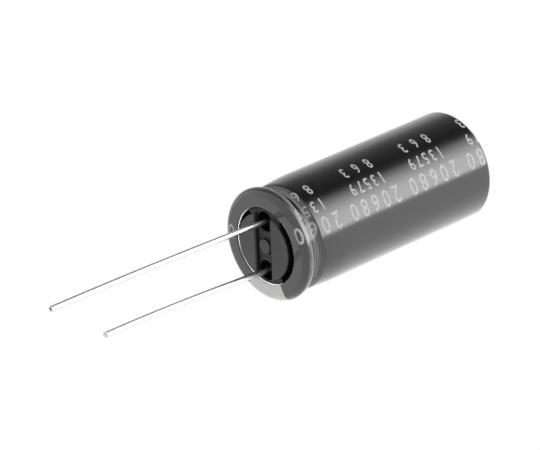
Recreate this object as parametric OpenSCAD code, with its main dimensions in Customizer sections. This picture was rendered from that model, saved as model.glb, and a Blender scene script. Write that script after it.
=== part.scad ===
// Radial aluminium electrolytic capacitor, 16 mm can, both leads at one end.
// The part stands on the lands of its rubber seal: Z = 0 is the seating plane, +Z runs up the can,
// the leads point down, and +X is the side of the negative lead.

/* [Can and sleeve] */
// Outside diameter over the sleeve
body_diameter = 16.3; // [12.8:0.1:22]
// Length from the sleeved rim at the sealed end to the closed end
body_length = 37.3; // [28:0.1:60]
// Thickness of the shrink sleeve
sleeve_thickness = 0.15; // [0.08:0.01:0.25]
// Wall of the drawn can
can_wall = 0.4; // [0.25:0.05:0.5]
// Thickness of the can's closed end
can_floor = 0.5; // [0.3:0.05:1]
// Radius of the fillet round the closed end
end_fillet = 0.7; // [0.65:0.05:1.5]
// Width of the sleeve's turned-in band on the closed end
end_band = 1.9; // [1:0.1:4]

/* [Rolled lip and bead] */
// How far the rolled lip stands out past the body
lip_overhang = 0.18; // [0:0.02:0.5]
// Radius of the lip's round edge
lip_radius = 1.06; // [0.9:0.02:1.3]
// How far the sleeve reaches inward over the lip
sleeve_reach = 2.61; // [2.3:0.01:2.65]
// How far the can's curled edge reaches inward from the lip
curl_reach = 2.73; // [2.7:0.01:3]
// Radius of the curled edge's bend
curl_radius = 0.3; // [0.1:0.05:0.35]
// Depth to which the curled edge bites into the seal
curl_depth = 1.0; // [0.5:0.05:1.4]
// Radius of the pressed bead
bead_radius = 0.75; // [0.68:0.01:1]
// Radius of the shoulder above the bead
shoulder_radius = 1.0; // [0.8:0.05:1.2]
// Slope at which the shoulder runs on into the body
shoulder_slope = 7.3; // [5:0.1:9]
// Radius of the long curve from the shoulder to the straight wall
shoulder_blend = 36; // [25:1:50]
// Height of the end of that curve above the sealed rim
shoulder_height = 8.8; // [8.6:0.1:10]

/* [Vent] */
// Width of each scored line on the closed end
vent_width = 0.4; // [0.2:0.05:0.8]
// Depth of the scored lines
vent_depth = 0.25; // [0.1:0.05:0.35]
// Length of the scored lines
vent_length = 9; // [6:0.5:10]

/* [Rubber seal] */
// Height of the two lands over the seal's outer face
land_height = 0.6; // [0.3:0.05:1]
// Thickness of the seal under its outer face
seal_thickness = 6.4; // [5.6:0.1:7.5]
// Width of the moat outside each land
moat_width = 0.7; // [0.4:0.05:1]
// Depth of the moats
moat_depth = 0.9; // [0.4:0.05:1.4]
// Angle that each moat spans
moat_angle = 112; // [60:2:120]
// Width of the channel between the lands
channel_width = 3; // [2:0.1:3.6]
// Diameter of the round dot at the channel's middle
dot_diameter = 2.2; // [1:0.1:2.6]
// Height of that dot
dot_height = 0.3; // [0.1:0.05:0.5]
// Diameter of the pocket round each lead
pocket_diameter = 3; // [2.4:0.1:3.2]
// Depth of those pockets
pocket_depth = 1.0; // [0.4:0.1:1.6]

/* [Leads and tabs] */
// Distance between the lead centres
lead_pitch = 7.5; // [6.2:0.1:9]
// Diameter of the lead wire
lead_diameter = 0.8; // [0.5:0.05:1]
// Length of the positive lead below the seating plane
positive_length = 38.5; // [10:0.5:50]
// Length of the negative lead below the seating plane
negative_length = 29.5; // [8:0.5:45]
// Diameter of the aluminium stud that passes through the seal
stud_diameter = 2; // [1.6:0.05:2.4]
// How far the stud's top lies under the pocket's floor
stud_recess = 0.4; // [0.2:0.05:1]
// How much the wire's radius narrows from the seating plane to its weld
lead_narrowing = 0.05; // [0.02:0.01:0.08]
// Depth to which the wire is welded into the stud
weld_depth = 0.8; // [0.4:0.1:1.5]
// Radius of the weld bead
weld_radius = 0.65; // [0.55:0.05:0.75]
// Thickness of the flattened paddle of a tab
paddle_thickness = 0.3; // [0.2:0.05:0.4]
// Width of the paddle
paddle_width = 1.9; // [1.2:0.1:2.2]
// Length of the paddle inside the winding
paddle_length = 22; // [10:1:25]

/* [Winding] */
// Radius of the hole at the winding's middle
core_radius = 1.5; // [1.2:0.1:2]
// Thickness of the anode foil
anode_thickness = 0.12; // [0.08:0.01:0.15]
// Thickness of the cathode foil
cathode_thickness = 0.06; // [0.04:0.01:0.1]
// Thickness of each paper strip and of the tape
paper_thickness = 0.05; // [0.03:0.01:0.08]
// How far the paper stands past the foil at each end
paper_margin = 0.6; // [0.3:0.1:1.5]
// Height of the fixing tape
tape_height = 16; // [6:1:20]

/* [Clearances] */
// Clearance between the sleeve and what it covers
sleeve_clearance = 0.02; // [0.01:0.01:0.05]
// Clearance between the seal and the can
seal_clearance = 0.02; // [0.01:0.01:0.05]
// Clearance round the stud in its bore
stud_clearance = 0.01; // [0.01:0.005:0.03]
// Clearance between the wire and the weld socket
weld_clearance = 0.01; // [0.005:0.005:0.02]
// Clearance between neighbouring strips of the winding
strip_clearance = 0.01; // [0.005:0.005:0.02]
// Clearance between a paddle and the strips beside it
paddle_clearance = 0.02; // [0.01:0.01:0.04]
// Space between the seal and the winding
winding_gap = 1.0; // [0.5:0.1:2]
// Space between the winding and the can all round
winding_clearance = 0.25; // [0.2:0.05:0.6]

/* [Hidden] */
$fn = 96;
far = 60;

// Radii of the sealed end
body_r = body_diameter / 2;
lip_outer_r = body_r + lip_overhang;
opening_r = lip_outer_r - sleeve_reach;
curl_r = lip_outer_r - curl_reach;
land_r = curl_r - moat_width;
lead_r = lead_diameter / 2;
weld_end_r = lead_r - lead_narrowing;
stud_r = stud_diameter / 2;

// Heights along the can
rim_z = land_height - sleeve_clearance - sleeve_thickness;
top_z = rim_z + body_length;
seal_end_z = land_height + seal_thickness;
winding_z = seal_end_z + winding_gap;
can_inset = sleeve_thickness + sleeve_clearance;
hollow_inset = can_inset + can_wall;
can_floor_z = top_z - can_inset - can_floor;
curl_z = rim_z + can_inset + curl_depth;
pocket_z = land_height + pocket_depth;
stud_z = pocket_z + stud_recess;
weld_end_z = stud_z + weld_depth;
neck_z = seal_end_z - stud_r / 2;
flat_z = winding_z - winding_gap / 2;
winding_top = can_floor_z - winding_clearance;
paper_height = winding_top - winding_z;
foil_height = paper_height - 2 * paper_margin;
foil_z = winding_z + paper_margin;
strip_end = 0.15;

// Centres of the arcs that make the lip, the bead and the shoulder, as [radius, height]
lip_c = [lip_outer_r - lip_radius, rim_z + lip_radius];
blend_c = [body_r - shoulder_blend, rim_z + shoulder_height];
shoulder_c = blend_c + (shoulder_blend - shoulder_radius) * [cos(shoulder_slope), -sin(shoulder_slope)];
bead_c = outward_centre(lip_c, lip_radius + bead_radius, shoulder_c, bead_radius + shoulder_radius);

// Winding: strips in order from the inside, each as its offset within one turn
anode_at = 0;
inner_paper_at = anode_at + anode_thickness + strip_clearance;
cathode_at = inner_paper_at + paper_thickness + strip_clearance;
outer_paper_at = cathode_at + cathode_thickness + strip_clearance;
stack = outer_paper_at + paper_thickness;
half_pitch = (stack + strip_clearance) / 2;
paddle_gap = paddle_thickness + 2 * paddle_clearance - strip_clearance;
winding_r = body_r - hollow_inset - winding_clearance;
first_room = lead_pitch / 2 - 1.5 * paddle_gap - core_radius - stack;
positive_turn = 2 * floor(first_room / half_pitch / 2) + 1;
negative_turn = positive_turn + 3;
anode_room = negative_turn;
cathode_room = negative_turn - 2;
half_turns = 2 * floor((winding_r - core_radius - 2 * paddle_gap - stack - 2 * paper_thickness)
    / half_pitch / 2);

// Point at distance da from a and db from b, on the outer side of the line between them
function outward_centre(a, da, b, db) =
    let (gap = norm(b - a), along = (da * da - db * db + gap * gap) / (2 * gap))
    let (aside = sqrt(da * da - along * along), way = (b - a) / gap)
    a + along * way + aside * [way[1], -way[0]];

// Extra radius that a strip has gained by half turn m when a paddle lies under it from turn t on
function gained(m, t) = m > t + 1 ? paddle_gap : m == t + 1 ? paddle_gap / 2 : 0;

// Shift of a half turn's centre while that extra radius comes in
function swing(m, t) = m != t + 1 ? 0 : t % 2 == 0 ? -paddle_gap / 2 : paddle_gap / 2;

// Radius and centre of half turn m of a strip at offset at, whose negative paddle room starts at t
function turn_r(m, at, t) = core_radius + at + m * half_pitch + gained(m, positive_turn) + gained(m, t);
function turn_c(m, t) = (m % 2 == 0 ? 0 : -half_pitch) + swing(m, positive_turn) + swing(m, t);

// Half of the outline of everything that lies d inside the sleeve's outer surface, up to the closed end
module wall_outline(d) {
    slope = [cos(shoulder_slope), -sin(shoulder_slope)];
    // Lip
    translate(lip_c) circle(lip_radius - d);
    translate([0, rim_z + d]) square([lip_c[0], lip_radius - d]);
    // Bead
    difference() {
        polygon([[0, lip_c[1]], lip_c, bead_c, shoulder_c, [0, shoulder_c[1]]]);
        translate(bead_c) circle(bead_radius + d);
    }
    // Shoulder and the long curve above it
    translate(shoulder_c) circle(shoulder_radius - d);
    intersection() {
        translate(blend_c) circle(shoulder_blend - d, $fn = 720);
        polygon([[0, shoulder_c[1]], shoulder_c, shoulder_c + 3 * slope, [far, blend_c[1]], [0, blend_c[1]]]);
    }
    // Straight wall
    translate([0, blend_c[1]]) square([body_r - d, top_z - end_fillet - blend_c[1]]);
}

// The same outline with the rounded closed end
module outline(d) {
    wall_outline(d);
    translate([0, blend_c[1]]) square([body_r - end_fillet, top_z - d - blend_c[1]]);
    translate([body_r - end_fillet, top_z - end_fillet]) circle(end_fillet - d);
}

// The room inside the can, up to its closed end
module hollow_outline() {
    wall_outline(hollow_inset);
    translate([0, blend_c[1]]) square([body_r - hollow_inset, can_floor_z - blend_c[1]]);
}

module sleeve() {
    color([0.09, 0.09, 0.1])
    rotate_extrude() {
        difference() {
            outline(0);
            outline(sleeve_thickness);
            square([opening_r, seal_end_z]);
            translate([0, seal_end_z]) square([body_r - end_band, far]);
        }
    }
}

module can() {
    color([0.8, 0.81, 0.83])
    difference() {
        rotate_extrude() can_outline();
        for (turn = [0, 90]) rotate(turn) vent_line();
    }
}

// Half section of the can: beaded wall, closed end, and the edge curled over and down into the seal
module can_outline() {
    difference() {
        outline(can_inset);
        difference() {
            intersection() {
                hollow_outline();
                square([far, can_floor_z]);
            }
            translate([curl_r, 0]) square([can_wall, curl_z]);
        }
        square([curl_r, curl_z]);
        translate([curl_r, rim_z + can_inset]) difference() {
            translate([-curl_radius, -curl_radius]) square(2 * curl_radius);
            translate([curl_radius, curl_radius]) circle(curl_radius);
        }
    }
}

module vent_line() {
    translate([-vent_length / 2, -vent_width / 2, top_z - can_inset - vent_depth])
    cube([vent_length, vent_width, can_floor]);
}

module end_seal() {
    color([0.27, 0.26, 0.26])
    difference() {
        union() {
            rotate_extrude() seal_outline();
            for (side = [0, 180]) rotate(side) land();
            translate([0, 0, land_height - dot_height]) cylinder(d = dot_diameter, h = 2 * dot_height);
        }
        for (side = [0, 180]) rotate(side) moat();
        for (side = [-1, 1]) translate([side * lead_pitch / 2, 0, 0]) lead_passage();
    }
}

// Half section of the seal: it fills the can's mouth and takes the curled edge in a groove
module seal_outline() {
    difference() {
        union() {
            intersection() {
                wall_outline(hollow_inset + seal_clearance);
                square([far, seal_end_z]);
            }
            translate([0, land_height]) square([curl_r - seal_clearance, lip_radius]);
        }
        translate([curl_r - seal_clearance, 0]) square([can_wall + 2 * seal_clearance, curl_z + seal_clearance]);
    }
}

// D-shaped land on the +Y side of the channel
module land() {
    linear_extrude(land_height + pocket_depth) {
        intersection() {
            circle(land_r);
            translate([-far, channel_width / 2]) square([2 * far, far]);
        }
    }
}

// Moat outside the land on the +Y side
module moat() {
    start = 90 - moat_angle / 2;
    translate([0, 0, -1])
    rotate_extrude(angle = moat_angle, start = start)
    translate([land_r, 0]) square([moat_width, land_height + moat_depth + 1]);
}

// Pocket in the seal's face and the bore for the stud under it
module lead_passage() {
    cylinder(d = pocket_diameter, h = pocket_z);
    cylinder(r = stud_r + stud_clearance, h = seal_end_z + 1);
}

// Wire that tapers from the seating plane up to its weld
module lead(length) {
    rotate_extrude()
    polygon([[0, -length], [lead_r, -length], [lead_r, 0], [weld_end_r, weld_end_z], [0, weld_end_z]]);
}

module positive_lead() {
    color([0.86, 0.86, 0.87])
    translate([-lead_pitch / 2, 0, 0]) lead(positive_length);
}

module negative_lead() {
    color([0.86, 0.86, 0.87])
    translate([lead_pitch / 2, 0, 0]) lead(negative_length);
}

// Stud through the seal with its weld bead, drawn for a tab at x = 0
module stud() {
    difference() {
        union() {
            translate([0, 0, stud_z]) cylinder(r = stud_r, h = neck_z - stud_z);
            translate([0, 0, stud_z]) sphere(weld_radius);
        }
        cylinder(r1 = lead_r + weld_clearance, r2 = weld_end_r + weld_clearance, h = weld_end_z);
    }
}

// Stud end pressed flat between the distances near and beyond from the capacitor's axis
module pressed_neck(near, beyond) {
    inner = lead_pitch / 2 - stud_r;
    outer = lead_pitch / 2 + stud_r;
    end_z = winding_z - winding_gap / 4;
    intersection() {
        translate([lead_pitch / 2, 0, neck_z - stud_r]) cylinder(r = stud_r, h = far);
        rotate([90, 0, 0])
        linear_extrude(2 * stud_diameter, center = true)
        polygon([[inner, neck_z - stud_r], [outer, neck_z - stud_r], [outer, neck_z], [beyond, flat_z],
            [beyond, end_z], [near, end_z], [near, flat_z], [inner, neck_z]]);
    }
}

// Paddle that follows a turn of radius r round the centre [0, c]
module paddle(r, c) {
    translate([0, 0, flat_z])
    linear_extrude(paddle_length + winding_z - flat_z) {
        intersection() {
            translate([0, c]) difference() {
                circle(r + paddle_thickness);
                circle(r);
            }
            translate([0, -paddle_width / 2]) square([far, paddle_width]);
        }
    }
}

// Whole tab on the +X side
module tab(r, c) {
    near = sqrt(r * r - pow(paddle_width / 2 + abs(c), 2));
    translate([lead_pitch / 2, 0, 0]) stud();
    pressed_neck(near, r + paddle_thickness);
    paddle(r, c);
}

module positive_tab() {
    r = turn_r(positive_turn, outer_paper_at, cathode_room) + paper_thickness + paddle_clearance;
    color([0.7, 0.72, 0.74])
    mirror([1, 0, 0]) tab(r, turn_c(positive_turn, cathode_room));
}

module negative_tab() {
    r = turn_r(negative_turn, inner_paper_at, anode_room) + paper_thickness + paddle_clearance;
    color([0.7, 0.72, 0.74])
    tab(r, turn_c(negative_turn, anode_room));
}

// Half turn m of a strip: a half ring, on the +X side when m is even
module half_turn(m, at, thickness, room) {
    r = turn_r(m, at, room);
    translate([0, turn_c(m, room)])
    intersection() {
        difference() {
            circle(r + thickness);
            circle(r);
        }
        translate([m % 2 == 0 ? 0 : -far, -far]) square([far, 2 * far]);
    }
}

// Wound strip of half turns first to last, from z0 up
module strip(first, last, at, thickness, room, z0, height) {
    end_y = turn_c(last, room) - turn_r(last, at, room) - thickness;
    translate([0, 0, z0])
    linear_extrude(height) {
        difference() {
            for (m = [first : last]) half_turn(m, at, thickness, room);
            translate([-strip_end, end_y - strip_clearance / 2])
            square([2 * strip_end, thickness + strip_clearance]);
        }
    }
}

module anode_foil() {
    color([0.62, 0.63, 0.64])
    strip(0, half_turns - 1, anode_at, anode_thickness, anode_room, foil_z, foil_height);
}

module cathode_foil() {
    color([0.74, 0.75, 0.76])
    strip(0, half_turns - 1, cathode_at, cathode_thickness, cathode_room, foil_z, foil_height);
}

module separator_inner() {
    color([0.85, 0.8, 0.68])
    strip(0, half_turns - 1, inner_paper_at, paper_thickness, anode_room, winding_z, paper_height);
}

module separator_outer() {
    color([0.85, 0.8, 0.68])
    strip(0, half_turns - 1, outer_paper_at, paper_thickness, cathode_room, winding_z, paper_height);
}

module fixing_tape() {
    color([0.75, 0.6, 0.3])
    strip(half_turns, half_turns + 1, 0, paper_thickness, anode_room,
        winding_z + (paper_height - tape_height) / 2, tape_height);
}

sleeve();
can();
end_seal();
positive_lead();
negative_lead();
positive_tab();
negative_tab();
anode_foil();
cathode_foil();
separator_inner();
separator_outer();
fixing_tape();
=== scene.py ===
"""Looks of a radial electrolytic capacitor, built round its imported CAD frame.

Z = 0 is the seating plane, +Z runs up the can, the leads point along -Z, and +X is the side of the
negative lead and of the pale stripe. Sizes in the classes are millimetres and degrees; a mesh is
scaled to metres when it becomes an object.
"""

import logging
import math
from dataclasses import dataclass, field
from enum import Enum

import bmesh
import bpy
from mathutils import Matrix, Quaternion, Vector


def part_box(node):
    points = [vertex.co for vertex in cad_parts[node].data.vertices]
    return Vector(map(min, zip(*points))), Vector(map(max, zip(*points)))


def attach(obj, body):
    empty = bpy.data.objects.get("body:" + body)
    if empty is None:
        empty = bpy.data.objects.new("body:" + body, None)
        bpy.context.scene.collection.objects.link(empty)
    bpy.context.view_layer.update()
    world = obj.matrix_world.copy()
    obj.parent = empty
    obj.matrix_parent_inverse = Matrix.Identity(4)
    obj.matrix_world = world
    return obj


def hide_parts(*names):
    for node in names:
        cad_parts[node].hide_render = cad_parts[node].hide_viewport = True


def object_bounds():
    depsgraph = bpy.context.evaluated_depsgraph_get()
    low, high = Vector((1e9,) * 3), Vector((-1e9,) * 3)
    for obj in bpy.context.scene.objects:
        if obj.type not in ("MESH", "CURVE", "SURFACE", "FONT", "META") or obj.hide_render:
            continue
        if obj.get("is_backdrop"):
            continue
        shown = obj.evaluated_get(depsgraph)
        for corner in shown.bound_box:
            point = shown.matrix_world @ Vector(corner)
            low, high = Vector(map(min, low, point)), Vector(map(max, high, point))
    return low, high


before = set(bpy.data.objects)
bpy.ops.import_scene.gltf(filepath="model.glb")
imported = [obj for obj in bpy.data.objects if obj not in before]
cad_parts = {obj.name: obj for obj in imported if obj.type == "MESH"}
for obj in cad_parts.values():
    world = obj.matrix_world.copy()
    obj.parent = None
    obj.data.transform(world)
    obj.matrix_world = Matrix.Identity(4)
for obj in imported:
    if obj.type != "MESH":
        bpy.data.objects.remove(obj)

MM = 0.001
BODY = "root"
log = logging.getLogger("capacitor")

Socket = bpy.types.NodeSocket
Colour = tuple[float, float, float]
Stretch = tuple[float, float, float]
Range = tuple[float, float]

MERGE_DISTANCE = 1e-5
CUT_DISTANCE = 1e-6


class Slot(str, Enum):
    """Material slots of the record, named for the new pieces; the script doesn't use them."""

    FILM = "sleeve_film"
    RUBBER = "seal_rubber"
    WIRE = "tinned_wire"


class Grain(Enum):
    """Direction in which a metal's fine lines run."""

    ALONG_AXIS = (9.0, 9.0, 0.12)
    ROUND_AXIS = (1.2, 1.2, 14.0)


@dataclass(frozen=True)
class Band:
    """Where a mask starts to rise, is full, starts to fall and is gone."""

    rise: float
    full: float
    fall: float
    gone: float


# ---------------------------------------------------------------- node wiring


class Wiring:
    """Places and joins nodes in one node tree."""

    def __init__(self, tree: bpy.types.NodeTree) -> None:
        """Starts on an empty tree.

        Args:
            tree: The tree that receives the nodes.
        """
        self.tree = tree
        self.column = 0

    def node(self, kind: str, inputs: dict | None = None, **settings: object) -> bpy.types.Node:
        """Adds one node.

        Args:
            kind: Class name of the node.
            inputs: Values or sockets for its inputs, by name or index.
            settings: Attributes of the node.

        Returns:
            The new node.
        """
        made = self.tree.nodes.new(kind)
        self.column += 1
        made.location = (self.column * 180 - 1200, -(self.column % 5) * 160)
        for name, value in settings.items():
            setattr(made, name, value)
        for name, value in (inputs or {}).items():
            self.feed(made.inputs[name], value)
        return made

    def feed(self, socket: Socket, value: object) -> None:
        """Joins a socket to an input, or sets the input's own value.

        Args:
            socket: Input to feed.
            value: Output socket, number, vector or colour.
        """
        if isinstance(value, bpy.types.NodeSocket):
            self.tree.links.new(value, socket)
        elif socket.type == "RGBA" and len(value) == 3:
            socket.default_value = (*value, 1.0)
        else:
            socket.default_value = value

    def math(self, operation: str, a: object, b: object = 0.0, clamp: bool = False) -> Socket:
        """Adds a Math node and returns its output."""
        return self.node("ShaderNodeMath", {0: a, 1: b}, operation=operation, use_clamp=clamp).outputs[0]

    def stretch(self, value: object, scale: Stretch) -> Socket:
        """Returns a vector multiplied by scale, axis by axis."""
        made = self.node("ShaderNodeVectorMath", {0: value, 1: scale}, operation="MULTIPLY")
        return made.outputs[0]

    def ranged(self, value: object, low: object, high: object, to_low: object = 0.0, to_high: object = 1.0,
               smooth: bool = True) -> Socket:
        """Maps a value from one range to another, clamped.

        Args:
            value: Value to map.
            low: Start of the range it comes from.
            high: End of that range.
            to_low: Result at low.
            to_high: Result at high.
            smooth: Whether the change eases in and out.

        Returns:
            The mapped value's socket.
        """
        kind = "SMOOTHSTEP" if smooth else "LINEAR"
        return self.node("ShaderNodeMapRange", {0: value, 1: low, 2: high, 3: to_low, 4: to_high},
                         interpolation_type=kind).outputs[0]

    def band(self, value: object, limits: Band) -> Socket:
        """Masks a band of values.

        Args:
            value: Value that runs across the band.
            limits: Where the mask rises and falls.

        Returns:
            The mask's socket.
        """
        rising = self.ranged(value, limits.rise, limits.full)
        falling = self.ranged(value, limits.fall, limits.gone, 1.0, 0.0)
        return self.math("MULTIPLY", rising, falling)

    def mix(self, factor: object, a: object, b: object) -> Socket:
        """Mixes two colours and returns the result."""
        return self.node("ShaderNodeMix", {0: factor, 6: a, 7: b}, data_type="RGBA").outputs[2]

    def noise(self, vector: object, scale: object, detail: float = 2.0, roughness: float = 0.5) -> Socket:
        """Adds a noise texture and returns its value."""
        made = self.node("ShaderNodeTexNoise", {"Vector": vector, "Scale": scale, "Detail": detail,
                                                "Roughness": roughness})
        return made.outputs[0]

    def millimetres(self) -> Socket:
        """Returns the object coordinates in millimetres."""
        place = self.node("ShaderNodeTexCoord").outputs["Object"]
        return self.node("ShaderNodeVectorMath", {0: place, "Scale": 1.0 / MM}, operation="SCALE").outputs[0]

    def split(self, vector: object) -> tuple[Socket, Socket, Socket]:
        """Returns the three parts of a vector."""
        made = self.node("ShaderNodeSeparateXYZ", {0: vector})
        return made.outputs[0], made.outputs[1], made.outputs[2]

    def polar(self, vector: object) -> tuple[Socket, Socket]:
        """Finds how far from the can's axis a place is, and on which side.

        Args:
            vector: The place.

        Returns:
            The distance from the axis and the azimuth in degrees from +X.
        """
        x, y, _ = self.split(vector)
        radius = self.math("SQRT", self.math("ADD", self.math("MULTIPLY", x, x), self.math("MULTIPLY", y, y)))
        azimuth = self.math("MULTIPLY", self.math("ARCTAN2", y, x), math.degrees(1.0))
        return radius, azimuth

    def bump(self, height: object, microns: float) -> Socket:
        """Returns the normal of a relief whose height of 1 stands for a number of microns."""
        made = self.node("ShaderNodeBump", {"Strength": 1.0, "Distance": microns * 1e-6, "Height": height})
        return made.outputs[0]


class Effects:
    """Node groups that several finishes share, each built once."""

    def __init__(self) -> None:
        """Builds every group."""
        self.mottle = self._mottle()
        self.scratches = self._scratches()
        self.lines = self._lines()
        self.specks = self._specks()

    @staticmethod
    def _open(name: str, inputs: dict[str, float | None], outputs: tuple[str, ...]
              ) -> tuple[Wiring, bpy.types.Node, bpy.types.Node]:
        """Makes an empty group with named sockets.

        Args:
            name: Name of the group.
            inputs: Default value by input name, None for a vector.
            outputs: Names of the outputs.

        Returns:
            Its wiring, its input node and its output node.
        """
        tree = bpy.data.node_groups.new(name, "ShaderNodeTree")
        for label, value in inputs.items():
            kind = "NodeSocketVector" if value is None else "NodeSocketFloat"
            socket = tree.interface.new_socket(name=label, in_out="INPUT", socket_type=kind)
            if value is not None:
                socket.default_value = value
        for label in outputs:
            tree.interface.new_socket(name=label, in_out="OUTPUT", socket_type="NodeSocketFloat")
        wiring = Wiring(tree)
        return wiring, wiring.node("NodeGroupInput"), wiring.node("NodeGroupOutput")

    def _mottle(self) -> bpy.types.NodeTree:
        """Makes soft blotches over a fine grain.

        Returns:
            The group.
        """
        w, given, out = self._open("mottle", {"Place": None, "Blotch": 0.6, "Fineness": 9.0},
                                   ("Blotches", "Grain"))
        blotch = w.noise(given.outputs["Place"], given.outputs["Blotch"], 3.0, 0.55)
        fine = w.noise(given.outputs["Place"], given.outputs["Fineness"], 4.0, 0.65)
        w.feed(out.inputs["Blotches"], w.ranged(blotch, 0.3, 0.7))
        w.feed(out.inputs["Grain"], fine)
        return w.tree

    def _scratches(self) -> bpy.types.NodeTree:
        """Makes sparse hairline scratches in two crossing directions.

        Returns:
            The group.
        """
        w, given, out = self._open("scratches", {"Place": None, "Length": 0.35, "Amount": 0.5}, ("Mask",))
        masks = []
        for turn, seed in ((0.5, 3.1), (-0.9, 8.7)):
            turned = w.node("ShaderNodeVectorRotate", {"Vector": given.outputs["Place"], "Angle": turn,
                                                       "Axis": (0.5, 0.35, 0.8)})
            moved = w.node("ShaderNodeVectorMath", {0: turned.outputs[0], 1: (seed, seed, seed)},
                           operation="ADD").outputs[0]
            thin = w.noise(w.stretch(moved, (0.25, 9.0, 9.0)), given.outputs["Length"], 5.0, 0.6)
            line = w.ranged(thin, 0.66, 0.72)
            gaps = w.ranged(w.noise(moved, 0.45, 1.0), 0.5, 0.62)
            masks.append(w.math("MULTIPLY", line, gaps))
        both = w.math("MAXIMUM", masks[0], masks[1])
        w.feed(out.inputs["Mask"], w.math("MULTIPLY", both, given.outputs["Amount"], clamp=True))
        return w.tree

    def _lines(self) -> bpy.types.NodeTree:
        """Makes fine parallel lines, from a place that is already stretched along them.

        Returns:
            The group.
        """
        w, given, out = self._open("drawn_lines", {"Stretched place": None, "Scale": 3.0}, ("Height", "Tone"))
        fine = w.noise(given.outputs["Stretched place"], given.outputs["Scale"], 6.0, 0.7)
        wide = w.math("MULTIPLY", given.outputs["Scale"], 0.2)
        coarse = w.noise(given.outputs["Stretched place"], wide, 2.0)
        both = w.math("ADD", w.math("MULTIPLY", fine, 0.6), w.math("MULTIPLY", coarse, 0.4))
        w.feed(out.inputs["Height"], fine)
        w.feed(out.inputs["Tone"], w.ranged(both, 0.35, 0.65))
        return w.tree

    def _specks(self) -> bpy.types.NodeTree:
        """Makes tiny scattered specks of dust.

        Returns:
            The group.
        """
        w, given, out = self._open("dust_specks", {"Place": None, "Scale": 2.4, "Size": 0.1}, ("Mask",))
        cells = w.node("ShaderNodeTexVoronoi", {"Vector": given.outputs["Place"],
                                                "Scale": given.outputs["Scale"]})
        keep = w.ranged(w.split(cells.outputs["Color"])[0], 0.72, 0.74)
        spot = w.ranged(cells.outputs["Distance"], w.math("MULTIPLY", given.outputs["Size"], 0.5),
                        given.outputs["Size"], 1.0, 0.0)
        w.feed(out.inputs["Mask"], w.math("MULTIPLY", keep, spot))
        return w.tree


@dataclass(frozen=True)
class Finish:
    """What a surface is made of; a subclass adds its own nodes in draw."""

    name: str
    colour: Colour
    roughness: float = 0.5
    metallic: float = 0.0

    def make(self, effects: Effects) -> bpy.types.Material:
        """Builds the material.

        Args:
            effects: The shared node groups.

        Returns:
            The material.
        """
        material = bpy.data.materials.new(self.name)
        material.use_nodes = True
        material.node_tree.nodes.clear()
        w = Wiring(material.node_tree)
        shader = w.node("ShaderNodeBsdfPrincipled", {"Metallic": self.metallic})
        out = w.node("ShaderNodeOutputMaterial")
        w.feed(out.inputs["Surface"], shader.outputs[0])
        self.draw(w, shader, effects)
        return material

    def draw(self, w: Wiring, shader: bpy.types.Node, effects: Effects) -> None:
        """Adds this finish's own nodes.

        Args:
            w: Wiring of the material.
            shader: Its Principled BSDF.
            effects: The shared node groups.
        """
        raise NotImplementedError

    @staticmethod
    def effect(w: Wiring, tree: bpy.types.NodeTree, **inputs: object) -> bpy.types.Node:
        """Places a shared group.

        Args:
            w: Wiring of the material.
            tree: The group.
            inputs: Values by input name, with _ for a space.

        Returns:
            The group's node.
        """
        made = w.node("ShaderNodeGroup", node_tree=tree)
        for name, value in inputs.items():
            w.feed(made.inputs[name.replace("_", " ")], value)
        return made

    @staticmethod
    def shade(colour: Colour, factor: float) -> Colour:
        """Returns a colour made lighter or darker."""
        return tuple(min(1.0, part * factor) for part in colour)

    def uneven(self, w: Wiring, value: object, spread: float, low: float = 0.3, high: float = 0.7) -> Socket:
        """Varies the finish's roughness to both sides.

        Args:
            w: Wiring of the material.
            value: What the roughness follows over the surface.
            spread: Share by which it falls and rises.
            low: Value where it is smoothest.
            high: Value where it is roughest.

        Returns:
            The roughness's socket.
        """
        return w.ranged(value, low, high, self.roughness * (1.0 - spread), self.roughness * (1.0 + spread))


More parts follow.
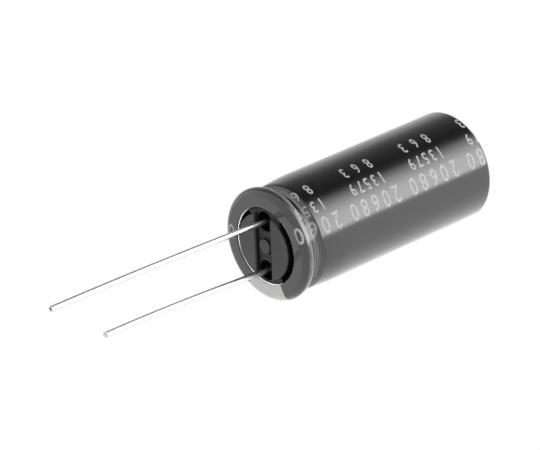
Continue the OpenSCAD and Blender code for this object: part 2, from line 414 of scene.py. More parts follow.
@dataclass(frozen=True)
class ShrinkFilm(Finish):
    """Glossy black film with a pale stripe printed along one side."""

    stripe: Colour = (0.22, 0.216, 0.212)
    stripe_edge: Range = (28.4, 28.65)
    stripe_wander: float = 0.25
    stripe_roughness: float = 0.3
    gathered: Band = Band(0.9, 1.4, 3.4, 4.6)
    crease: float = 6.0
    crease_grain: Stretch = (0.12, 0.12, 1.6)
    # painted highlight: pale streaks in the bead that stand in for reflections: colour, grain and level
    painted_streak_colour: Colour = (0.062, 0.06, 0.059)
    painted_streak_grain: Stretch = (0.06, 0.06, 2.4)
    painted_streak_level: Range = (0.47, 0.56)
    ripple_grain: Stretch = (1.0, 1.0, 0.35)
    ripple_share: float = 0.85
    peel_share: float = 0.06
    scratch_depth: float = 0.02
    dust: Colour = (0.16, 0.16, 0.15)
    refraction: float = 1.5

    def draw(self, w: Wiring, shader: bpy.types.Node, effects: Effects) -> None:
        """Adds the stripe, the creases and ripple of the shrunk film, painted highlight streaks in the bead,
        and its handling marks.
        """
        place = w.millimetres()
        _, azimuth = w.polar(place)
        _, _, height = w.split(place)
        mottle = self.effect(w, effects.mottle, Place=place, Blotch=0.5, Fineness=14.0)
        scratch = self.effect(w, effects.scratches, Place=place, Length=0.5, Amount=0.35)
        specks = self.effect(w, effects.specks, Place=place, Scale=1.1, Size=0.035)

        wander = w.math("MULTIPLY", mottle.outputs["Grain"], self.stripe_wander)
        stripe = w.ranged(w.math("ADD", w.math("ABSOLUTE", azimuth), wander), *self.stripe_edge, 1.0, 0.0)
        shrunk = w.band(height, self.gathered)
        # painted highlight: pale streaks across the bead
        streak_noise = w.noise(w.stretch(place, self.painted_streak_grain), 1.7, 2.0)
        painted_streaks = w.math("MULTIPLY", shrunk, w.ranged(streak_noise, *self.painted_streak_level))
        plain = w.mix(mottle.outputs["Blotches"], self.colour, self.shade(self.colour, 1.25))
        film = w.mix(painted_streaks, plain, self.painted_streak_colour)
        ink = w.mix(mottle.outputs["Blotches"], self.stripe, self.shade(self.stripe, 0.93))
        colour = w.mix(stripe, film, ink)
        w.feed(shader.inputs["Base Color"], w.mix(specks.outputs["Mask"], colour, self.dust))

        rough = w.ranged(mottle.outputs["Blotches"], 0.0, 1.0, self.roughness * 0.85, self.roughness * 1.2)
        marked = w.math("ADD", rough, w.math("MULTIPLY", scratch.outputs["Mask"], 0.12))
        inked = w.math("MULTIPLY", stripe, self.stripe_roughness - self.roughness)
        w.feed(shader.inputs["Roughness"], w.math("ADD", marked, inked, clamp=True))

        ripple = w.noise(w.stretch(place, self.ripple_grain), 0.55, 1.0)
        peel = w.noise(place, 3.0, 2.0)
        soft = w.math("ADD", w.math("MULTIPLY", ripple, self.ripple_share),
                      w.math("MULTIPLY", peel, self.peel_share))
        folds = w.math("MULTIPLY", w.noise(w.stretch(place, self.crease_grain), 1.1, 2.0), shrunk)
        creased = w.math("ADD", soft, w.math("MULTIPLY", folds, self.crease))
        scored = w.math("SUBTRACT", creased, w.math("MULTIPLY", scratch.outputs["Mask"], self.scratch_depth))
        w.feed(shader.inputs["Normal"], w.bump(scored, 9.0))
        shader.inputs["IOR"].default_value = self.refraction


@dataclass(frozen=True)
class PrintInk(Finish):
    """Screen-printed ink that covers unevenly."""

    shine: float = 0.12

    def draw(self, w: Wiring, shader: bpy.types.Node, effects: Effects) -> None:
        """Adds the ink's uneven cover and its dry surface."""
        place = w.millimetres()
        mottle = self.effect(w, effects.mottle, Place=place, Blotch=1.6, Fineness=16.0)
        tone = w.math("MULTIPLY", mottle.outputs["Blotches"], mottle.outputs["Grain"])
        w.feed(shader.inputs["Base Color"], w.mix(tone, self.colour, self.shade(self.colour, 0.72)))
        w.feed(shader.inputs["Roughness"], self.uneven(w, mottle.outputs["Grain"], 0.15))
        w.feed(shader.inputs["Normal"], w.bump(mottle.outputs["Grain"], 1.5))
        shader.inputs["Specular IOR Level"].default_value = self.shine


@dataclass(frozen=True)
class MouldedRubber(Finish):
    """Matt moulded rubber with a fine skin and pale bloom, with painted shade that darkens its pockets, moats
    and the feet of its lands and dot.
    """

    bloom: Colour = (0.03, 0.029, 0.0295)
    bloom_share: float = 0.3
    dust: Colour = (0.12, 0.116, 0.11)
    sheen: float = 0.3
    # painted shade for the pockets, moats and the feet of the lands and dot: tone, specular level and mask
    # limits
    painted_shade_tone: float = 0.18
    painted_shade_sheen: float = 0.02
    painted_shade_heights: Range = (0.35, 0.9)
    moat_shade_radii: Range = (4.82, 4.88)
    moat_shade_sides: Range = (2.9, 3.2)
    moat_shade_heights: Range = (0.1, 0.35)
    land_foot_shade: Band = Band(1.28, 1.47, 1.55, 1.62)
    dot_foot_shade: Band = Band(1.02, 1.12, 1.22, 1.4)
    foot_shade_heights: Range = (0.08, 0.34)
    foot_shade_share: float = 0.8

    def _painted_shade_mask(self, w: Wiring, place: Socket) -> Socket:
        """Finds where painted shade goes: the pockets, the moats, and the feet of the lands and of the dot.

        Args:
            w: Wiring of the material.
            place: Place in millimetres.

        Returns:
            How strongly painted shade darkens the rubber, from 0 to 1.
        """
        _, across, height = w.split(place)
        aside = w.math("ABSOLUTE", across)
        radius, _ = w.polar(place)
        # painted shade in the moats, then at the feet of the lands and of the dot
        outside = w.math("MULTIPLY", w.ranged(radius, *self.moat_shade_radii), w.ranged(aside, *self.moat_shade_sides))
        moat = w.math("MULTIPLY", outside, w.ranged(height, *self.moat_shade_heights))
        feet = w.math("MAXIMUM", w.band(aside, self.land_foot_shade), w.band(radius, self.dot_foot_shade))
        painted_foot_shade = w.math("MULTIPLY", feet, w.ranged(height, *self.foot_shade_heights))
        painted_hollow_shade = w.math("MAXIMUM", w.ranged(height, *self.painted_shade_heights), moat)
        return w.math("MAXIMUM", painted_hollow_shade, w.math("MULTIPLY", painted_foot_shade, self.foot_shade_share))

    def draw(self, w: Wiring, shader: bpy.types.Node, effects: Effects) -> None:
        """Adds the skin's grain, the bloom, specks of dust and painted shade in the pockets, moats and feet.
        """
        place = w.millimetres()
        mottle = self.effect(w, effects.mottle, Place=place, Blotch=0.7, Fineness=11.0)
        specks = self.effect(w, effects.specks, Place=place, Scale=2.2, Size=0.07)
        scratch = self.effect(w, effects.scratches, Place=place, Length=0.6, Amount=0.5)
        plain = w.mix(mottle.outputs["Blotches"], self.colour, self.shade(self.colour, 1.3))
        bloomed = w.mix(w.math("MULTIPLY", mottle.outputs["Grain"], self.bloom_share), plain, self.bloom)
        dusty = w.mix(specks.outputs["Mask"], bloomed, self.dust)
        # painted shade: these places get a darker colour and a lower specular level
        depth = self._painted_shade_mask(w, place)
        w.feed(shader.inputs["Base Color"], w.mix(depth, dusty, self.shade(self.colour, self.painted_shade_tone)))
        w.feed(shader.inputs["Specular IOR Level"], w.ranged(depth, 0.0, 1.0, self.sheen, self.painted_shade_sheen))
        w.feed(shader.inputs["Roughness"], self.uneven(w, mottle.outputs["Grain"], 0.15, 0.25, 0.75))
        skin = w.math("SUBTRACT", mottle.outputs["Grain"], w.math("MULTIPLY", scratch.outputs["Mask"], 0.5))
        w.feed(shader.inputs["Normal"], w.bump(skin, 6.0))


@dataclass(frozen=True)
class DrawnMetal(Finish):
    """Metal with fine lines, such as drawn wire, rolled foil or a pressed tab."""

    grain: Grain = Grain.ALONG_AXIS
    line_depth: float = 2.0
    # painted shade towards the outline: its strength and the facing range where it sets in
    painted_edge_shade: float = 1.0
    painted_edge_facing: Range = (0.38, 0.8)
    # painted shade at the low end, standing in for the shade deep in the seal's pockets: height, fade and
    # colour
    painted_shade_below: float | None = None
    painted_shade_fade: float = 0.3
    painted_shade_colour: Colour = (0.03, 0.029, 0.028)
    tarnish: Colour = (0.45, 0.44, 0.42)
    tarnish_share: float = 0.25

    def draw(self, w: Wiring, shader: bpy.types.Node, effects: Effects) -> None:
        """Adds the lines, nicks, a dull tarnish, painted shade towards the outline and, when set, painted
        shade at the low end.
        """
        place = w.millimetres()
        lines = self.effect(w, effects.lines, Stretched_place=w.stretch(place, self.grain.value), Scale=2.2)
        mottle = self.effect(w, effects.mottle, Place=place, Blotch=0.8, Fineness=8.0)
        scratch = self.effect(w, effects.scratches, Place=place, Length=1.4, Amount=0.7)
        dull = w.math("MULTIPLY", mottle.outputs["Blotches"], self.tarnish_share)
        plain = w.mix(dull, self.colour, self.tarnish)
        streaks = w.math("MULTIPLY", lines.outputs["Tone"], 0.35)
        streaked = w.mix(streaks, plain, self.shade(self.colour, 0.75))
        # painted shade: the colour darkens towards the outline as the surface turns away from the view
        facing = w.node("ShaderNodeLayerWeight", {"Blend": 0.5}).outputs["Facing"]
        edge = w.ranged(facing, *self.painted_edge_facing)
        colour = w.mix(edge, streaked, self.shade(self.tarnish, self.painted_edge_shade))
        # painted shade: below the given height the colour goes dark
        if self.painted_shade_below is not None:
            _, _, height = w.split(place)
            painted_low_shade = w.ranged(height, self.painted_shade_below - self.painted_shade_fade, self.painted_shade_below, 1.0, 0.0)
            colour = w.mix(painted_low_shade, colour, self.painted_shade_colour)
        w.feed(shader.inputs["Base Color"], colour)
        rough = w.ranged(lines.outputs["Tone"], 0.0, 1.0, self.roughness * 0.8, self.roughness * 1.25)
        w.feed(shader.inputs["Roughness"], w.math("ADD", rough, w.math("MULTIPLY", dull, 0.25), clamp=True))
        relief = w.math("SUBTRACT", lines.outputs["Height"], w.math("MULTIPLY", scratch.outputs["Mask"], 0.6))
        w.feed(shader.inputs["Normal"], w.bump(relief, self.line_depth))


@dataclass(frozen=True)
class TurnedAluminium(Finish):
    """Drawn can whose closed end shows rings and whose wall shows lines round it."""

    ring_pitch: float = 0.22
    wall_lines: float = 6.0

    def draw(self, w: Wiring, shader: bpy.types.Node, effects: Effects) -> None:
        """Adds the rings, the wall's lines and handling scratches."""
        place = w.millimetres()
        radius, _ = w.polar(place)
        _, _, height = w.split(place)
        turned = w.node("ShaderNodeCombineXYZ", {0: w.math("DIVIDE", radius, self.ring_pitch),
                                                 1: w.math("MULTIPLY", height, self.wall_lines)}).outputs[0]
        rings = w.noise(turned, 1.0, 5.0, 0.6)
        mottle = self.effect(w, effects.mottle, Place=place, Blotch=0.45, Fineness=7.0)
        scratch = self.effect(w, effects.scratches, Place=place, Length=0.7, Amount=0.9)
        tone = w.mix(mottle.outputs["Blotches"], self.colour, self.shade(self.colour, 0.86))
        marked = w.mix(scratch.outputs["Mask"], tone, self.shade(self.colour, 1.15))
        w.feed(shader.inputs["Base Color"], marked)
        w.feed(shader.inputs["Roughness"], self.uneven(w, rings, 0.2))
        depth = w.math("SUBTRACT", rings, w.math("MULTIPLY", scratch.outputs["Mask"], 0.4))
        w.feed(shader.inputs["Normal"], w.bump(depth, 5.0))


@dataclass(frozen=True)
class CutWire(Finish):
    """Sheared end of a plated wire: a steel core in a thin copper ring."""

    copper: Colour = (0.3, 0.16, 0.1)
    copper_ring: Band = Band(0.31, 0.33, 0.36, 0.38)
    lead_offset: float = 3.75

    def draw(self, w: Wiring, shader: bpy.types.Node, effects: Effects) -> None:
        """Adds the copper ring and the torn face."""
        place = w.millimetres()
        x, y, _ = w.split(place)
        side = w.math("SUBTRACT", w.math("ABSOLUTE", x), self.lead_offset)
        radius = w.math("SQRT", w.math("ADD", w.math("MULTIPLY", side, side), w.math("MULTIPLY", y, y)))
        mottle = self.effect(w, effects.mottle, Place=place, Blotch=4.0, Fineness=16.0)
        core = w.mix(mottle.outputs["Blotches"], self.colour, self.shade(self.colour, 0.55))
        w.feed(shader.inputs["Base Color"], w.mix(w.band(radius, self.copper_ring), core, self.copper))
        w.feed(shader.inputs["Roughness"], self.uneven(w, mottle.outputs["Grain"], 0.2))
        w.feed(shader.inputs["Normal"], w.bump(mottle.outputs["Grain"], 14.0))


@dataclass(frozen=True)
class EtchedFoil(Finish):
    """Foil whose etched pores make it matt and speckled."""

    def draw(self, w: Wiring, shader: bpy.types.Node, effects: Effects) -> None:
        """Adds the pores and the foil's rolling lines."""
        place = w.millimetres()
        mottle = self.effect(w, effects.mottle, Place=place, Blotch=1.2, Fineness=24.0)
        rolled = w.stretch(place, Grain.ROUND_AXIS.value)
        lines = self.effect(w, effects.lines, Stretched_place=rolled, Scale=1.2)
        tone = w.mix(mottle.outputs["Grain"], self.colour, self.shade(self.colour, 0.6))
        streaks = w.math("MULTIPLY", lines.outputs["Tone"], 0.3)
        w.feed(shader.inputs["Base Color"], w.mix(streaks, tone, self.shade(self.colour, 1.2)))
        w.feed(shader.inputs["Roughness"], self.uneven(w, mottle.outputs["Grain"], 0.1))
        w.feed(shader.inputs["Normal"], w.bump(mottle.outputs["Grain"], 8.0))


@dataclass(frozen=True)
class SoakedPaper(Finish):
    """Thin kraft paper, wet with electrolyte in places, with fibres."""

    damp: Colour = (0.5, 0.41, 0.27)
    damp_roughness: float = 0.35

    def draw(self, w: Wiring, shader: bpy.types.Node, effects: Effects) -> None:
        """Adds the fibres and the damp patches."""
        place = w.millimetres()
        mottle = self.effect(w, effects.mottle, Place=place, Blotch=0.35, Fineness=6.0)
        fibres = self.effect(w, effects.scratches, Place=place, Length=3.0, Amount=1.0)
        dry = w.mix(mottle.outputs["Grain"], self.colour, self.shade(self.colour, 0.82))
        fibrous = w.mix(w.math("MULTIPLY", fibres.outputs["Mask"], 0.5), dry, self.shade(self.colour, 0.55))
        w.feed(shader.inputs["Base Color"], w.mix(mottle.outputs["Blotches"], fibrous, self.damp))
        w.feed(shader.inputs["Roughness"], w.ranged(mottle.outputs["Blotches"], 0.0, 1.0, self.roughness,
                                                    self.damp_roughness))
        relief = w.math("ADD", mottle.outputs["Grain"], fibres.outputs["Mask"])
        w.feed(shader.inputs["Normal"], w.bump(relief, 10.0))


@dataclass(frozen=True)
class TapeFilm(Finish):
    """Amber film tape with a soft lengthwise grain."""

    def draw(self, w: Wiring, shader: bpy.types.Node, effects: Effects) -> None:
        """Adds the tape's grain and small trapped bubbles."""
        place = w.millimetres()
        mottle = self.effect(w, effects.mottle, Place=place, Blotch=0.6, Fineness=9.0)
        bubbles = self.effect(w, effects.specks, Place=place, Scale=1.6, Size=0.16)
        tone = w.mix(mottle.outputs["Blotches"], self.colour, self.shade(self.colour, 0.8))
        spotted = w.mix(bubbles.outputs["Mask"], tone, self.shade(self.colour, 1.3))
        w.feed(shader.inputs["Base Color"], spotted)
        w.feed(shader.inputs["Roughness"], self.uneven(w, mottle.outputs["Grain"], 0.2))
        w.feed(shader.inputs["Normal"], w.bump(bubbles.outputs["Mask"], 12.0))


# ---------------------------------------------------------------- mesh tools


class Pen:
    """Draws a half section in the X-Z plane, stroke by stroke, and turns it round the can's axis."""

    def __init__(self, radius: float, height: float) -> None:
        """Puts the pen down.

        Args:
            radius: Distance from the axis.
            height: Height along it.
        """
        self.mesh = bmesh.new()
        self.tip = self.mesh.verts.new((radius, 0.0, height))
        self.track = [Vector((radius, height))]

    def line(self, radius: float, height: float, steps: int = 1) -> None:
        """Draws a straight stroke in equal steps.

        Args:
            radius: Where it ends, as a distance from the axis.
            height: Height where it ends.
            steps: Number of edges.
        """
        stride = (Vector((radius, 0.0, height)) - self.tip.co) / steps
        for _ in range(steps):
            grown = bmesh.ops.extrude_vert_indiv(self.mesh, verts=[self.tip])
            self.tip = grown["verts"][0]
            bmesh.ops.translate(self.mesh, vec=stride, verts=[self.tip])
            self.track.append(Vector((self.tip.co.x, self.tip.co.z)))

    def arc(self, centre: Vector, degrees: float, steps: int) -> None:
        """Draws an arc, anticlockwise for a positive angle.

        Args:
            centre: Its centre as radius and height.
            degrees: Angle it turns through.
            steps: Number of edges.
        """
        for _ in range(steps):
            grown = bmesh.ops.spin(self.mesh, geom=[self.tip], cent=(centre[0], 0.0, centre[1]),
                                   axis=(0.0, -1.0, 0.0), angle=math.radians(degrees) / steps, steps=1)
            self.tip = next(part for part in grown["geom_last"] if isinstance(part, bmesh.types.BMVert))
            self.track.append(Vector((self.tip.co.x, self.tip.co.z)))

    def revolve(self, segments: int) -> bmesh.types.BMesh:
        """Turns the section full circle.

        Args:
            segments: Number of steps round the axis.

        Returns:
            The closed mesh.
        """
        bmesh.ops.remove_doubles(self.mesh, verts=self.mesh.verts[:], dist=MERGE_DISTANCE)
        bmesh.ops.spin(self.mesh, geom=self.mesh.verts[:] + self.mesh.edges[:], cent=(0.0, 0.0, 0.0),
                       axis=(0.0, 0.0, 1.0), angle=math.tau, steps=segments, use_merge=True)
        bmesh.ops.remove_doubles(self.mesh, verts=self.mesh.verts[:], dist=MERGE_DISTANCE)
        bmesh.ops.recalc_face_normals(self.mesh, faces=self.mesh.faces[:])
        return self.mesh


def finished(name: str, mesh: bmesh.types.BMesh, materials: list[bpy.types.Material],
             smooth_below: float = 40.0) -> bpy.types.Object:
    """Makes an object of a mesh in millimetres, with its place in the mesh.

    Args:
        name: Name of the piece.
        mesh: Its mesh, which is used up.
        materials: Its materials, in the order of the faces' indices.
        smooth_below: Largest angle between faces that still shade as one surface.

    Returns:
        The object, riding on the row's body.
    """
    bmesh.ops.scale(mesh, vec=(MM, MM, MM), verts=mesh.verts[:])
    for face in mesh.faces:
        face.smooth = True
    for edge in mesh.edges:
        if len(edge.link_faces) == 2 and edge.calc_face_angle(0.0) > math.radians(smooth_below):
            edge.smooth = False
    data = bpy.data.meshes.new(name)
    mesh.to_mesh(data)
    mesh.free()
    for material in materials:
        data.materials.append(material)
    piece = bpy.data.objects.new(name, data)
    bpy.context.scene.collection.objects.link(piece)
    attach(piece, BODY)
    log.info("piece %s: %d faces", name, len(data.polygons))
    return piece


def standing_for(piece: bpy.types.Object, *nodes: str) -> bpy.types.Object:
    """Hides the CAD nodes that a piece stands for, and returns the piece."""
    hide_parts(*nodes)
    return piece


def sliced(mesh: bmesh.types.BMesh, spot: Vector, way: Vector, drop: bool = False
           ) -> list[bmesh.types.BMEdge]:
    """Cuts a mesh along a plane.

    Args:
        mesh: Mesh to cut.
        spot: A point of the plane.
        way: The plane's normal.
        drop: Whether what lies on the normal's side is deleted.

    Returns:
        The edges of the cut.
    """
    cut = bmesh.ops.bisect_plane(mesh, geom=mesh.verts[:] + mesh.edges[:] + mesh.faces[:], dist=CUT_DISTANCE,
                                 plane_co=spot, plane_no=way, clear_outer=drop)
    return [part for part in cut["geom_cut"] if isinstance(part, bmesh.types.BMEdge)]


def ends_of(edges: list[bmesh.types.BMEdge]) -> list[bmesh.types.BMVert]:
    """Returns the vertices of some edges, each once."""
    return list(dict.fromkeys(vert for edge in edges for vert in edge.verts))


def rounded(mesh: bmesh.types.BMesh, parts: list, offset: float, segments: int,
            affect: str = "EDGES") -> None:
    """Rounds edges, or the corners of a flat face.

    Args:
        mesh: The mesh.
        parts: Its edges or vertices.
        offset: How far the rounding reaches.
        segments: Number of steps across it.
        affect: EDGES or VERTICES.
    """
    bmesh.ops.bevel(mesh, geom=parts, offset=offset, offset_type="OFFSET", segments=segments, profile=0.5,
                    affect=affect, material=-1)


def millimetre_box(node: str) -> tuple[Vector, Vector]:
    """Returns a CAD node's lowest and highest corners in millimetres."""
    low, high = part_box(node)
    return low / MM, high / MM


# ---------------------------------------------------------------- sleeve


@dataclass(frozen=True)
class Strokes:
    """Number of edges in each stretch of one side of the film, from the mouth to the closed end."""

    rim: int
    lip: int
    bead: int
    shoulder: int
    blend: int
    wall: int
    fillet: int
    band: int


@dataclass
class ShrinkSleeve:
    """The film round the can: lip, bead, shoulder, wall and the turned-in band of the closed end."""

    body_radius: float = 8.15
    lip_overhang: float = 0.18
    lip_radius: float = 1.06
    opening_radius: float = 5.72
    bead_radius: float = 0.75
    shoulder_radius: float = 1.0
    shoulder_slope: float = 7.3
    shoulder_blend: float = 36.0
    shoulder_height: float = 8.8
    end_fillet: float = 0.7
    end_band: float = 1.9
    thickness: float = 0.15
    segments: int = 360
    outside: Strokes = Strokes(rim=6, lip=30, bead=26, shoulder=12, blend=10, wall=20, fillet=12, band=4)
    inside: Strokes = Strokes(rim=1, lip=16, bead=14, shoulder=8, blend=6, wall=4, fillet=8, band=1)
    edge_strokes: int = 6
    smooth_below: float = 70.0
    track: list[Vector] = field(default_factory=list)

    def __post_init__(self) -> None:
        """Takes the heights from the frame and finds the centres of the arcs."""
        low, high = millimetre_box("sleeve")
        self.rim, self.top = low.z, high.z
        slope = math.radians(self.shoulder_slope)
        lip_reach = self.body_radius + self.lip_overhang - self.lip_radius
        self.lip = Vector((lip_reach, self.rim + self.lip_radius))
        self.blend = Vector((self.body_radius - self.shoulder_blend, self.rim + self.shoulder_height))
        self.shoulder = self.blend + (self.shoulder_blend - self.shoulder_radius) * Vector(
            (math.cos(slope), -math.sin(slope)))
        self.bead = self._outward_centre(self.lip, self.lip_radius + self.bead_radius, self.shoulder,
                                         self.shoulder_radius + self.bead_radius)
        self.fillet = Vector((self.body_radius - self.end_fillet, self.top - self.end_fillet))

    @staticmethod
    def _outward_centre(a: Vector, reach_a: float, b: Vector, reach_b: float) -> Vector:
        """Finds the point at given distances from two others, on the outer side.

        Args:
            a: First point.
            reach_a: Distance from it.
            b: Second point.
            reach_b: Distance from that.

        Returns:
            The point.
        """
        gap = (b - a).length
        along = (reach_a ** 2 - reach_b ** 2 + gap ** 2) / (2 * gap)
        aside = math.sqrt(reach_a ** 2 - along ** 2)
        way = (b - a) / gap
        return a + along * way + aside * Vector((way.y, -way.x))

    def _angles(self) -> tuple[float, float, float]:
        """Works out how far the arcs turn.

        Returns:
            The turns of the lip, the bead and the shoulder, in degrees.
        """
        to_bead, to_shoulder = self.bead - self.lip, self.shoulder - self.bead
        first = math.degrees(math.atan2(to_bead.y, to_bead.x))
        second = math.degrees(math.atan2(to_shoulder.y, to_shoulder.x))
        return first + 90.0, first + 180.0 - second, 180.0 - second - self.shoulder_slope

    def section(self) -> Pen:
        """Draws both sides of the film with rounded cut edges.

        Returns:
            The pen that drew them.
        """
        half = self.thickness / 2
        lip_turn, bead_turn, shoulder_turn = self._angles()
        mouth = self.opening_radius + half
        band = self.body_radius - self.end_band + half
        pen = Pen(mouth, self.rim)
        pen.line(self.lip.x, self.rim, self.outside.rim)
        pen.arc(self.lip, lip_turn, self.outside.lip)
        pen.arc(self.bead, -bead_turn, self.outside.bead)
        pen.arc(self.shoulder, shoulder_turn, self.outside.shoulder)
        pen.arc(self.blend, self.shoulder_slope, self.outside.blend)
        pen.line(self.body_radius, self.fillet.y, self.outside.wall)
        pen.arc(self.fillet, 90.0, self.outside.fillet)
        pen.line(band, self.top, self.outside.band)
        self.track = list(pen.track)
        pen.arc(Vector((band, self.top - half)), 180.0, self.edge_strokes)
        pen.line(self.fillet.x, self.top - self.thickness, self.inside.band)
        pen.arc(self.fillet, -90.0, self.inside.fillet)
        pen.line(self.body_radius - self.thickness, self.blend.y, self.inside.wall)
        pen.arc(self.blend, -self.shoulder_slope, self.inside.blend)
        pen.arc(self.shoulder, -shoulder_turn, self.inside.shoulder)
        pen.arc(self.bead, bead_turn, self.inside.bead)
        pen.arc(self.lip, -lip_turn, self.inside.lip)
        pen.line(mouth, self.rim + self.thickness, self.inside.rim)
        pen.arc(Vector((mouth, self.rim + half)), 180.0, self.edge_strokes)
        return pen

    def build(self, film: bpy.types.Material) -> bpy.types.Object:
        """Turns the section and dresses it.

        Args:
            film: The film's material.

        Returns:
            The sleeve, which stands for the CAD node.
        """
        mesh = self.section().revolve(self.segments)
        piece = finished("film_sleeve", mesh, [film], self.smooth_below)
        return standing_for(piece, "sleeve")

    def length_at(self, height: float) -> float:
        """Finds the length of film from the mouth to a height on the wall.

        Args:
            height: Height in the row frame.

        Returns:
            The length along the film.
        """
        total = 0.0
        for start, end in zip(self.track, self.track[1:]):
            if end.y >= height > start.y and start.x > self.lip.x:
                return total + (end - start).length * (height - start.y) / (end.y - start.y)
            total += (end - start).length
        return total

    def film_length(self) -> float:
        """Returns the length of film from the mouth to the band's edge."""
        return sum((end - start).length for start, end in zip(self.track, self.track[1:]))

    def lay(self, azimuth: float, length: float, proud: float) -> Vector:
        """Finds the point of the film's outer side at a length from the mouth.

        Args:
            azimuth: Azimuth in degrees from +X.
            length: Length along the film from its mouth.
            proud: How far the point stands out of the film.

        Returns:
            The point in millimetres.
        """
        left = max(length, 0.0)
        for start, end in zip(self.track, self.track[1:]):
            stride = end - start
            if left <= stride.length or end is self.track[-1]:
                break
            left -= stride.length
        way = stride.normalized()
        spot = start + way * min(left, stride.length) + proud * Vector((way.y, -way.x))
        turn = math.radians(azimuth)
        return Vector((spot.x * math.cos(turn), spot.x * math.sin(turn), spot.y))


@dataclass(frozen=True)
class NumberRow:
    """One printed line of plain figures that repeats along the film."""

    figures: str
    base_azimuth: float
    cap_height: float
    advance: float
    first_height: float
    narrow: float = 0.78


@dataclass
class SleevePrint:
    """Printed figures and the minus marks of the stripe, laid on the film as thin ink."""

    sleeve: ShrinkSleeve
    period: float = 11.7
    proud: float = 0.008
    bold: float = 0.014
    cell_along: float = 0.12
    cell_around: float = 0.4
    margin: float = 0.06
    curve_steps: int = 6
    mark_length: float = 2.6
    mark_width: float = 0.55
    mark_round: float = 0.264
    mark_round_steps: int = 8
    mark_period: float = 5.85
    mark_from: float = 8.0
    mark_to: float = 35.0
    rows: tuple[NumberRow, ...] = (
        NumberRow("20680", -126.7, 2.55, 2.08, 18.9),
        NumberRow("13579", -145.3, 1.87, 1.42, 17.8),
        NumberRow("863", -166.3, 1.95, 2.35, 17.6, 0.7),
        NumberRow("1000", 82.0, 2.7, 2.1, 16.0),
        NumberRow("35", 55.0, 1.7, 1.3, 15.2),
        NumberRow("35", 118.0, 2.7, 2.1, 14.0),
    )

    def __post_init__(self) -> None:
        """Starts with no figures cut yet."""
        self.cut: dict[str, bpy.types.Mesh] = {}

    def _figure(self, figure: str) -> bpy.types.Mesh:
        """Cuts one figure as a flat mesh one unit high, centred across.

        Args:
            figure: A single character.

        Returns:
            Its mesh.
        """
        if figure not in self.cut:
            curve = bpy.data.curves.new("figure", "FONT")
            curve.body = figure
            curve.offset = self.bold
            curve.resolution_u = self.curve_steps
            holder = bpy.data.objects.new("figure", curve)
            bpy.context.scene.collection.objects.link(holder)
            bpy.context.view_layer.update()
            shown = holder.evaluated_get(bpy.context.evaluated_depsgraph_get())
            flat = bpy.data.meshes.new_from_object(shown)
            bpy.data.objects.remove(holder)
            bpy.data.curves.remove(curve)
            xs, ys = [vert.co.x for vert in flat.vertices], [vert.co.y for vert in flat.vertices]
            high = max(ys) - min(ys)
            flat.transform(Matrix.Translation((-(max(xs) + min(xs)) / 2, -min(ys), 0.0)))
            flat.transform(Matrix.Scale(1.0 / high, 4))
            self.cut[figure] = flat
        return self.cut[figure]

    def _wrap(self, flat: bmesh.types.BMesh) -> None:
        """Cuts a flat mesh into small cells and lays it on the film.

        Args:
            flat: Mesh whose X is the length along the film and whose Y is the arc from azimuth 0.
        """
        bmesh.ops.remove_doubles(flat, verts=flat.verts[:], dist=MERGE_DISTANCE)
        along, around = Vector((1.0, 0.0, 0.0)), Vector((0.0, 1.0, 0.0))
        sliced(flat, along * self.margin, -along, drop=True)
        sliced(flat, along * (self.sleeve.film_length() - self.margin), along, drop=True)
        for way, cell in ((along, self.cell_along), (around, self.cell_around)):
            if not flat.verts:
                return
            spots = [vert.co.dot(way) for vert in flat.verts]
            cut = math.ceil(min(spots) / cell) * cell
            while cut < max(spots):
                sliced(flat, way * cut, way)
                cut += cell
        for vert in flat.verts:
            azimuth = math.degrees(vert.co.y / self.sleeve.body_radius)
            vert.co = self.sleeve.lay(azimuth, vert.co.x, self.proud)

    def _joined(self, parts: list[bpy.types.Mesh]) -> bmesh.types.BMesh:
        """Joins meshes into one and turns its faces outwards.

        Args:
            parts: Meshes that are used up.

        Returns:
            The joined mesh.
        """
        whole = bmesh.new()
        for part in parts:
            whole.from_mesh(part)
            bpy.data.meshes.remove(part)
        turned = [face for face in whole.faces
                  if face.normal.dot(self._outwards(face.calc_center_median())) < 0.0]
        bmesh.ops.reverse_faces(whole, faces=turned)
        return whole

    def _outwards(self, spot: Vector) -> Vector:
        """Finds a direction out of the film.

        Args:
            spot: A place on the film.

        Returns:
            The direction, of any length.
        """
        across = Vector((spot.x, spot.y, 0.0)).normalized()
        if spot.z < self.sleeve.lip.y:
            return spot - (across * self.sleeve.lip.x + Vector((0.0, 0.0, self.sleeve.lip.y)))
        if spot.z > self.sleeve.fillet.y:
            return spot - (across * self.sleeve.fillet.x / 2 + Vector((0.0, 0.0, self.sleeve.fillet.y)))
        return across

    def _row_parts(self, row: NumberRow) -> list[bpy.types.Mesh]:
        """Makes every repeat of one row.

        Args:
            row: The row.

        Returns:
            Its wrapped meshes.
        """
        parts = []
        start = self.sleeve.length_at(self.sleeve.rim + row.first_height)
        whole = self.sleeve.film_length()
        base = math.radians(row.base_azimuth) * self.sleeve.body_radius
        most = math.ceil(whole / self.period)
        for block in range(-most, most + 1):
            for index, figure in enumerate(row.figures):
                centre = start + block * self.period - index * row.advance
                if not -row.cap_height < centre < whole + row.cap_height:
                    continue
                flat = bmesh.new()
                flat.from_mesh(self._figure(figure))
                size = Matrix.Diagonal((-row.cap_height * row.narrow, row.cap_height, 1.0, 1.0))
                flat.transform(Matrix.Translation((centre, base, 0.0)) @ size)
                self._wrap(flat)
                if flat.faces:
                    part = bpy.data.meshes.new("figure")
                    flat.to_mesh(part)
                    parts.append(part)
                flat.free()
        return parts

